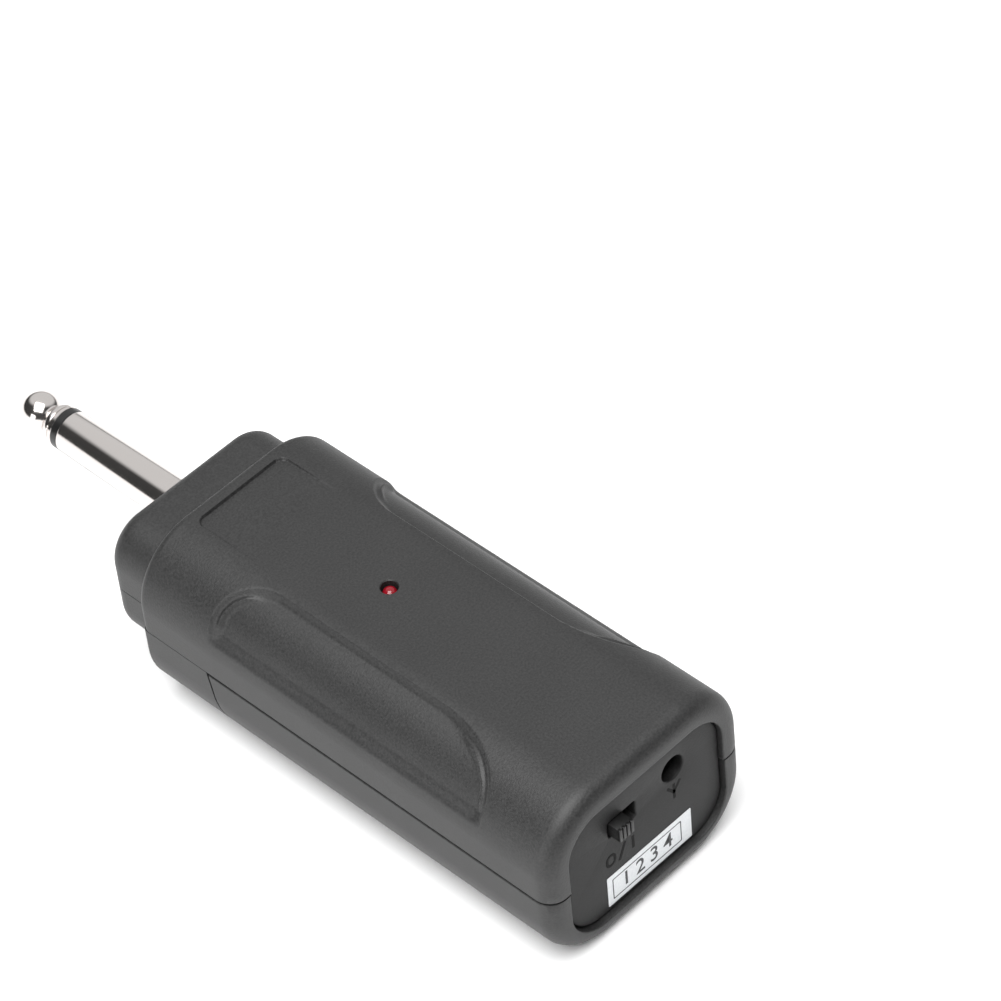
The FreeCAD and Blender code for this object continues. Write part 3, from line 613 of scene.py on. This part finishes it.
slot_section = (0.5 * (slot_high_x - slot_low_x), switch_z - slot_half_height,
                switch_z + slot_half_height, 0.35 * mm)
slot_centre = 0.5 * (slot_high_x + slot_low_x)
socket_section = (socket_hole, socket_z - socket_hole, socket_z + socket_hole, socket_hole)
openings = [(slot_section, slot_centre), (socket_section, socket_x)]
flange = 1.4 * mm
wing = (plate[0] + flange, plate[1] - flange, plate_high.z, plate[3] + flange)
# painted shade: darker tones and a lower Specular_IOR_Level than the case ABS stand in for shade on
# the plate's rear face
shaded_plate_abs = surface("Charcoal_ABS_control_plate_painted_shade", "0e0e0e", "191919", (0.5, 0.62), grain, 0.7,
                    IOR=1.53, Specular_IOR_Level=0.3)
front_part = plaque((plate, 0), openings, plate_face, plate_back - 0.01 * mm, 0.25 * mm)
wing_part = plaque((wing, 0), openings, plate_step, plate_back, 0.1 * mm, parting_z + 0.3 * mm)
face = solid("control_plate", *together(front_part, wing_part), shaded_plate_abs, crease)
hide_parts("end_plate")
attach(face, "case")

# ---- marks on the control plate ----------------------------------------------
# Pad printed in black: a ring and a bar, with a stroke between them, for the two
# places of the power switch, and a plain aerial sign under the socket. The film is
# drawn a little thicker than the few microns of a real one.
film = 0.02 * mm
print_edge = 0.004 * mm
mark_ink = surface("Black_pad_print_ink", "040404", "070707", (0.6, 0.7), 0.2 * mm,
                   Specular_IOR_Level=0.15)


def ribbon(start, end, width, front, back):
    """A printed stroke from one (x, z) to another."""
    along = (Vector(end) - Vector(start)).normalized() * 0.5 * width
    beside = Vector((-along.y, along.x))
    first, last = Vector(start) - along, Vector(end) + along
    corners = [first + beside, last + beside, last - beside, first - beside]
    vertices = [(p.x, y, p.y) for y in (front, back) for p in corners]
    sides = [(i, (i + 1) % 4, 4 + (i + 1) % 4, 4 + i) for i in range(4)]
    return vertices, [(0, 1, 2, 3), (4, 5, 6, 7)] + sides


stroke = 0.46 * mm
mark_z = 12.4 * mm
ring_x, bar_x = -6.3 * mm, -2.2 * mm
printed = (plate_face - film, plate_face)
ring = (0.95 * mm, mark_z - 1.15 * mm, mark_z + 1.15 * mm, 0.95 * mm)
mast = Vector((socket_x, 0, 13.9 * mm))
parts = [plaque((ring, ring_x), [(shrink(ring, stroke), ring_x)], *printed, print_edge),
         ribbon((-4.7 * mm, mark_z - 1.1 * mm), (-3.7 * mm, mark_z + 1.1 * mm), stroke, *printed),
         ribbon((bar_x, mark_z - 0.92 * mm), (bar_x, mark_z + 0.92 * mm), stroke, *printed)]
for foot_at, head_at in (((0, 0), (0, 2.3)), ((0, 1.0), (-1.05, 2.3)), ((0, 1.0), (1.05, 2.3))):
    parts.append(ribbon((mast.x + foot_at[0] * mm, mast.z + foot_at[1] * mm),
                        (mast.x + head_at[0] * mm, mast.z + head_at[1] * mm), stroke, *printed))
marks = solid("plate_marks", *together(*parts), mark_ink, 30)
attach(marks, "case")

# ---- channel label -----------------------------------------------------------
# A white vinyl sticker, stuck on slightly askew, with a thin printed frame and
# four plain digits in it.
label_low, label_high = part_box("channel_label")
label_face = label_low.y
label_centre = 0.5 * (label_low + label_high)
label_half = (7.85 * mm, 2.7 * mm)
label_tilt = math.radians(0.8)
vinyl = surface("White_vinyl_sticker", "d6d9dc", "e2e4e6", (0.35, 0.5), 0.4 * mm, IOR=1.5)
label_ink = surface("Dark_grey_label_ink", "242628", "2e3032", (0.4, 0.5), 0.2 * mm, IOR=1.5)


def askew(piece):
    """Turns a piece with the sticker."""
    piece.data.transform(Matrix.Translation(label_centre) @ Matrix.Rotation(label_tilt, 4, "Y") @
                         Matrix.Translation(-label_centre))


def label_section(x, z):
    """A rectangle of these half sizes at the sticker's height."""
    return x, label_centre.z - z, label_centre.z + z, 0.15 * mm


sheet = plaque((label_section(*label_half), label_centre.x), [], label_face + film,
               label_high.y, 0.02 * mm)
sticker = solid("label_sheet", *sheet, vinyl, 30)
frame_line = 0.16 * mm
inner_half = (6.45 * mm, 1.9 * mm)
frame_x = label_centre.x - 0.5 * mm
frame_outside = (label_section(*inner_half), frame_x)
frame_inside = (label_section(inner_half[0] - frame_line, inner_half[1] - frame_line), frame_x)
outline = plaque(frame_outside, [frame_inside], label_face, label_face + film, print_edge)
outline_print = solid("label_frame", *outline, label_ink, 30)
writing = bpy.data.curves.new("digits", "FONT")
writing.body = "1234"
writing.size = 3.6
writing.space_character = 1.45
writing.align_x = "CENTER"
writing.align_y = "CENTER"
writing.extrude = 0.5 * film / mm
writing.offset = 0.02
typed = bpy.data.objects.new("digits", writing)
bpy.context.scene.collection.objects.link(typed)
bpy.context.view_layer.update()
glyphs = bpy.data.meshes.new_from_object(typed.evaluated_get(bpy.context.evaluated_depsgraph_get()))
bpy.data.objects.remove(typed)
glyphs.transform(Matrix.Translation((frame_x, label_face + 0.5 * film, label_centre.z)) @
                 Matrix.Rotation(math.pi / 2, 4, "X") @ Matrix.Scale(mm, 4))
digits = solid("label_digits", [v.co.copy() for v in glyphs.vertices],
               [tuple(f.vertices) for f in glyphs.polygons], label_ink, 30)
for piece in (sticker, outline_print, digits):
    askew(piece)
    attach(piece, "case")
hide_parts("channel_label")

# ---- guitar plug -------------------------------------------------------------
# A 6.35 mm two-pole plug turned from brass and nickel plated: a ball tip on a rod,
# a black nylon ring and tube round the rod, and a sleeve that is trapped in the neck.
tip_low, tip_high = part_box("plug_tip")
sleeve_low, sleeve_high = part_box("plug_sleeve")
tube_low, tube_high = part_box("plug_insulator")
plug_centre = Vector((0, 0, plug_axis_z))
rod_radius = 1.15 * mm
tube_radius = 1.95 * mm
ball_radius = 2.97 * mm
ring_rear = sleeve_high.y
ring_front = tube_high.y
tip_end = tip_high.y


def plating(name, base, rough):
    """Bright nickel over turned brass, with faint rings left by the lathe."""
    material, tree = new_material(name)
    place = add(tree, "ShaderNodeTexCoord").outputs["Object"]
    along = add(tree, "ShaderNodeMapping", Vector=place, Scale=(1.0, 14.0, 1.0))
    rings = add(tree, "ShaderNodeTexNoise", Vector=along.outputs["Vector"], Scale=1 / (3.0 * mm),
                Detail=3.0)
    smear = add(tree, "ShaderNodeTexNoise", Vector=place, Scale=1 / (2.5 * mm), Detail=2.0)
    gloss = add(tree, "ShaderNodeMapRange", Value=smear.outputs["Fac"], To_Min=rough[0],
                To_Max=rough[1])
    bump = add(tree, "ShaderNodeBump", Height=rings.outputs["Fac"], Strength=0.1,
               Distance=0.01 * mm)
    seal(tree, add(tree, "ShaderNodeBsdfPrincipled", Base_Color=linear(base), Metallic=1.0,
                   Roughness=gloss.outputs["Result"], Normal=bump.outputs["Normal"]))
    return material


nickel = plating("Bright_nickel_plate", "d6d1ce", (0.1, 0.18))
plug_nylon = surface("Black_nylon_moulded", "0b0b0b", "111111", (0.3, 0.4), 0.4 * mm, 0.1, IOR=1.53)
ball_centre = tip_end - ball_radius
ball = [(ball_centre + ball_radius * math.sin(a), ball_radius * math.cos(a))
        for a in [math.radians(-46 + 136 * i / 34) for i in range(35)]]
shoulder = [(ring_front + far * mm, r * mm) for far, r in
            ((0, 1.15), (0, 3.0), (0.08, 3.1), (0.55, 3.1), (0.66, 3.02), (0.72, 2.82),
             (0.86, 2.8), (0.92, 2.9), (1.1, 2.96), (1.4, 2.95), (1.7, 2.83), (2.0, 2.6),
             (2.3, 2.32), (2.55, 2.12), (2.7, 2.05))]
rod_rear = tip_low.y
profile = [(rod_rear, 0), (rod_rear, rod_radius - 0.15 * mm), (rod_rear + 0.15 * mm, rod_radius)]
profile += shoulder + ball
tip = turned("plug_ball_tip", profile, nickel, plug_centre, 96)
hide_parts("plug_tip")

ring_radius = 3.1 * mm
tube_rear = tube_low.y
clearance = 0.02 * mm
ring_edge = 0.05 * mm
profile = [(tube_rear, rod_radius + clearance), (tube_rear, tube_radius - clearance),
           (ring_rear, tube_radius - clearance), (ring_rear, ring_radius - ring_edge),
           (ring_rear + ring_edge, ring_radius), (ring_front - ring_edge, ring_radius),
           (ring_front, ring_radius - ring_edge), (ring_front, rod_radius + clearance),
           (tube_rear, rod_radius + clearance)]
insulator = turned("plug_black_ring", profile, plug_nylon, plug_centre, 96)
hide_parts("plug_insulator")

collar_radius = 4.0 * mm
collar_slim = collar_radius - 0.4 * mm
flange_front = neck_front - wall - 0.1 * mm
flange_rear = flange_front - 1.9 * mm
trap_rear = flange_rear - 0.1 * mm - 1.8 * mm
sleeve_rear = sleeve_low.y
slim = plug_radius - 0.2 * mm
profile = [(sleeve_rear, tube_radius), (sleeve_rear, collar_radius - 0.5 * mm),
           (sleeve_rear + 0.1 * mm, collar_slim), (trap_rear - 2 * mm, collar_slim),
           (trap_rear - 2 * mm, collar_radius - 0.1 * mm), (trap_rear - 1.9 * mm, collar_radius),
           (flange_rear, collar_radius), (flange_rear, collar_radius + 0.8 * mm),
           (flange_rear + 0.1 * mm, collar_radius + 0.9 * mm),
           (flange_front - 0.1 * mm, collar_radius + 0.9 * mm),
           (flange_front, collar_radius + 0.8 * mm), (flange_front, slim),
           (neck_front - 0.3 * mm, slim), (neck_front - 0.1 * mm, plug_radius)]
profile += [(ring_rear - 0.22 * mm, plug_radius), (ring_rear - 0.06 * mm, plug_radius - 0.07 * mm),
            (ring_rear, plug_radius - 0.2 * mm), (ring_rear, tube_radius),
            (sleeve_rear, tube_radius)]
barrel = turned("plug_barrel", profile, nickel, plug_centre, 128)
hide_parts("plug_sleeve")
for piece in (tip, insulator, barrel):
    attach(piece, "case")

# ---- power switch ------------------------------------------------------------
# A slide switch on the board: a pressed steel frame over a nylon base, and a black
# nylon lever whose ribbed end stands out through the slot in the plate.
black_nylon = surface("Black_nylon_plain", "060606", "0b0b0b", (0.4, 0.55), 0.4 * mm, 0.15,
                      IOR=1.53)
knob_front = knob_low.y
knob_back = knob_high.y
lever_low = -6.1 * mm
lever_high = -3.5 * mm
lever_half = 1.1 * mm
parts = [block((lever_low, knob_front + 0.3 * mm, switch_z - lever_half),
               (lever_high, knob_back - 1.5 * mm, switch_z + lever_half), 0.08 * mm),
         block((lever_low - 0.5 * mm, knob_back - 1.6 * mm, switch_z - lever_half - 0.25 * mm),
               (lever_high + 0.5 * mm, knob_back, switch_z + lever_half + 0.35 * mm), 0.05 * mm)]
rib = 0.5 * mm
for i in range(4):
    x = lever_low + (lever_high - lever_low - rib) * i / 3
    parts.append(block((x, knob_front, switch_z - lever_half),
                       (x + rib, knob_front + 0.5 * mm, switch_z + lever_half), 0.08 * mm))
lever = solid("switch_lever", *together(*parts), black_nylon, 30)
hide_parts("switch_knob")
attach(lever, "switch_knob")
tin = surface("Tin_plated_steel", "b4b2ac", "c4c2bc", (0.25, 0.38), 0.6 * mm, 0.1, Metallic=1.0)


def coat(material, *names):
    """Gives CAD nodes their finish."""
    for node in names:
        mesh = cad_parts[node].data
        mesh.materials.clear()
        mesh.materials.append(material)


coat(black_nylon, "switch_base")
coat(tin, "switch_frame", "switch_pins")

# ---- aerial socket -----------------------------------------------------------
# A 3.5 mm socket in a black nylon block on the board, with a bent tin plated
# contact at its side.
coat(black_nylon, "antenna_socket")
coat(tin, "antenna_contact")

# ---- lamp --------------------------------------------------------------------
# A 3 mm red LED standing on two tinned leads. Its clear red epoxy dome comes up
# into the hole in the top, which is deeper than the dome is high.
red_epoxy, tree = new_material("Clear_red_epoxy")
place = add(tree, "ShaderNodeTexCoord").outputs["Object"]
haze = add(tree, "ShaderNodeTexNoise", Vector=place, Scale=1 / (0.8 * mm), Detail=2.0)
dye = add(tree, "ShaderNodeMix", {"data_type": "RGBA"}, Factor=haze.outputs["Fac"],
          A=linear("a01222"), B=linear("b81c30"))
seal(tree, add(tree, "ShaderNodeBsdfPrincipled", Base_Color=dye.outputs["Result"], Roughness=0.08,
               IOR=1.54, Transmission_Weight=0.5))
lens_radius = 0.5 * (lamp_high.x - lamp_low.x) - 0.3 * mm
dome_radius = 1.1 * mm
lens_base = lamp_low.z
lens_top = top_z - 0.3 * mm
dome = [(lens_top - dome_radius + dome_radius * math.sin(a), dome_radius * math.cos(a))
        for a in [math.radians(90 * i / 14) for i in range(15)]]
profile = [(lens_base, 0), (lens_base, lens_radius + 0.25 * mm),
           (lens_base + 0.05 * mm, lens_radius + 0.3 * mm),
           (lens_base + 0.75 * mm, lens_radius + 0.3 * mm), (lens_base + 0.8 * mm, lens_radius),
           (top_z - wall - 0.45 * mm, lens_radius), (top_z - wall - 0.25 * mm, dome_radius)] + dome
lens = turned("lamp_lens", profile, red_epoxy, lamp_centre, 48, 40, upright=True)
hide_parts("led_lens")
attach(lens, "case")
coat(tin, "led_leads")

# ---- cells -------------------------------------------------------------------
# Two AAA cells in printed sleeves: a plain steel blue sleeve with a grey band at
# the positive end, shrunk over the rims of a nickel plated can.
for node, way in (("battery_left", 1), ("battery_right", -1)):
    low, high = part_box(node)
    plus, minus = (high.y, low.y) if way > 0 else (low.y, high.y)
    sleeve_paint, tree = new_material("Printed_cell_sleeve_" + node)
    place = add(tree, "ShaderNodeSeparateXYZ",
                Vector=add(tree, "ShaderNodeTexCoord").outputs["Object"])
    share = add(tree, "ShaderNodeMapRange", Value=place.outputs["Y"], From_Min=minus, From_Max=plus)
    bands = add(tree, "ShaderNodeValToRGB", Fac=share.outputs["Result"])
    ramp = bands.color_ramp
    ramp.interpolation = "CONSTANT"
    ramp.elements[0].color = linear("3c5a78")
    ramp.elements[1].position = 0.74
    ramp.elements[1].color = linear("c8c8c4")
    ramp.elements.new(0.77).color = linear("8e9196")
    scuff = add(tree, "ShaderNodeTexNoise",
                Vector=add(tree, "ShaderNodeTexCoord").outputs["Object"],
                Scale=1 / (1.5 * mm), Detail=3.0)
    gloss = add(tree, "ShaderNodeMapRange", Value=scuff.outputs["Fac"], To_Min=0.22, To_Max=0.36)
    seal(tree, add(tree, "ShaderNodeBsdfPrincipled", Base_Color=bands.outputs["Color"],
                   Metallic=0.55, Roughness=gloss.outputs["Result"]))
    r = 0.5 * (high.z - low.z)
    rim, full = r / mm, abs(plus - minus) / mm
    ends = [(0, 0), (0, 2.9), (0.25, 3.2), (0.25, rim - 1.1), (0.0, rim - 0.8), (0.0, rim - 0.45),
            (0.15, rim - 0.12), (0.45, rim), (full - 1.5, rim), (full - 1.05, rim - 0.15),
            (full - 0.85, rim - 0.5), (full - 0.85, rim - 1.0), (full - 1.0, rim - 1.2),
            (full - 1.0, 2.1), (full - 0.85, 1.9), (full - 0.1, 1.85), (full, 1.7), (full, 0)]
    centre = Vector((0.5 * (low.x + high.x), 0, 0.5 * (low.z + high.z)))
    cell = turned("cell_" + node, [(minus + way * y * mm, radius * mm) for y, radius in ends],
                  sleeve_paint, centre, 96)
    cell.data.materials.append(tin)
    for polygon in cell.data.polygons:
        gone = abs(polygon.center.y - minus) / mm
        if gone < 0.3 or gone > full - 1.02:          # the bare ends of the can
            polygon.material_index = 1
    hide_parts(node)
    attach(cell, "case")

# ---- battery contacts --------------------------------------------------------
# Nickel plated spring steel: a bridge at the rear, two plates at the front and a
# coil spring under the negative end of each cell.
spring_steel = surface("Nickel_plated_spring_steel", "a9a7a2", "bdbab4", (0.22, 0.34), 0.5 * mm,
                       0.15, Metallic=1.0)
coat(spring_steel, "battery_bridge", "battery_positive_contact", "battery_negative_contact",
     "battery_springs")

# ---- circuit board -----------------------------------------------------------
# Glass-fibre laminate under green solder mask, through which the copper tracks
# show a little lighter. The tracks are drawn twice as wide as real ones.
solder_mask, tree = new_material("Green_solder_mask")
place = add(tree, "ShaderNodeTexCoord").outputs["Object"]
cells = add(tree, "ShaderNodeTexVoronoi", {"feature": "F1", "distance": "CHEBYCHEV"}, Vector=place,
            Scale=1 / (3.2 * mm))
edges = add(tree, "ShaderNodeMath", {"operation": "FRACT"},
            in0=add(tree, "ShaderNodeMath", {"operation": "MULTIPLY"},
                    in0=cells.outputs["Distance"], in1=6.0).outputs["Value"])
track = add(tree, "ShaderNodeMapRange", Value=edges.outputs["Value"], From_Min=0.55, From_Max=0.62)
tone = add(tree, "ShaderNodeMix", {"data_type": "RGBA"}, Factor=track.outputs["Result"],
           A=linear("14482c"), B=linear("1f6a40"))
bump = add(tree, "ShaderNodeBump", Height=track.outputs["Result"], Strength=0.3, Distance=0.04 * mm)
seal(tree, add(tree, "ShaderNodeBsdfPrincipled", Base_Color=tone.outputs["Result"], Roughness=0.3,
               IOR=1.5, Normal=bump.outputs["Normal"]))
coat(solder_mask, "main_board")

# ---- parts on the board ------------------------------------------------------
# A drawn steel lid over the radio, a crystal in its can, epoxy moulded chips and
# inductor, two electrolytic capacitors, and small ceramic parts.
chip_epoxy = surface("Matt_black_epoxy", "121212", "1a1a1a", (0.6, 0.75), 0.3 * mm, 0.3)
can_aluminium = surface("Satin_aluminium_can", "b8b9ba", "c6c7c8", (0.3, 0.42), 0.5 * mm, 0.1,
                        Metallic=1.0)
resistor_ceramic = surface("Resistor_overglaze", "17181c", "22242a", (0.3, 0.45), 0.3 * mm)
capacitor_ceramic = surface("Barium_titanate_ceramic", "7d6448", "927656", (0.45, 0.6), 0.3 * mm)
coat(tin, "rf_shield", "crystal")
coat(chip_epoxy, "chips", "inductor")
coat(can_aluminium, "electrolytic_capacitors")
coat(resistor_ceramic, "resistors")
coat(capacitor_ceramic, "ceramic_capacitors")

# ---- plug's terminals --------------------------------------------------------
# Tin plated brass tags on the rod and the sleeve, with a black nylon washer
# between them.
coat(tin, "sleeve_lug", "tip_lug")
coat(plug_nylon, "plug_washer")

# ---- screws ------------------------------------------------------------------
# Bright zinc plated steel self-tapping screws, four through the underside and
# two that hold the board.
zinc = surface("Bright_zinc_plate", "b2b6ba", "c8cacc", (0.2, 0.34), 0.4 * mm, 0.1, Metallic=1.0)
coat(zinc, "case_screws", "board_screws")

# ---- wires -------------------------------------------------------------------
# Stranded hook-up wire in soft PVC, soldered by hand.
coat(surface("Red_PVC_insulation", "8c1410", "9c1c16", (0.35, 0.45), 0.5 * mm), "battery_wire_red")
coat(surface("Black_PVC_insulation", "0d0d0d", "141414", (0.35, 0.45), 0.5 * mm),
     "battery_wire_black", "plug_wire_ground")
coat(surface("White_PVC_insulation", "cfcdc6", "dedcd4", (0.35, 0.45), 0.5 * mm),
     "plug_wire_signal")

# ---- end ---------------------------------------------------------------------
low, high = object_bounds()
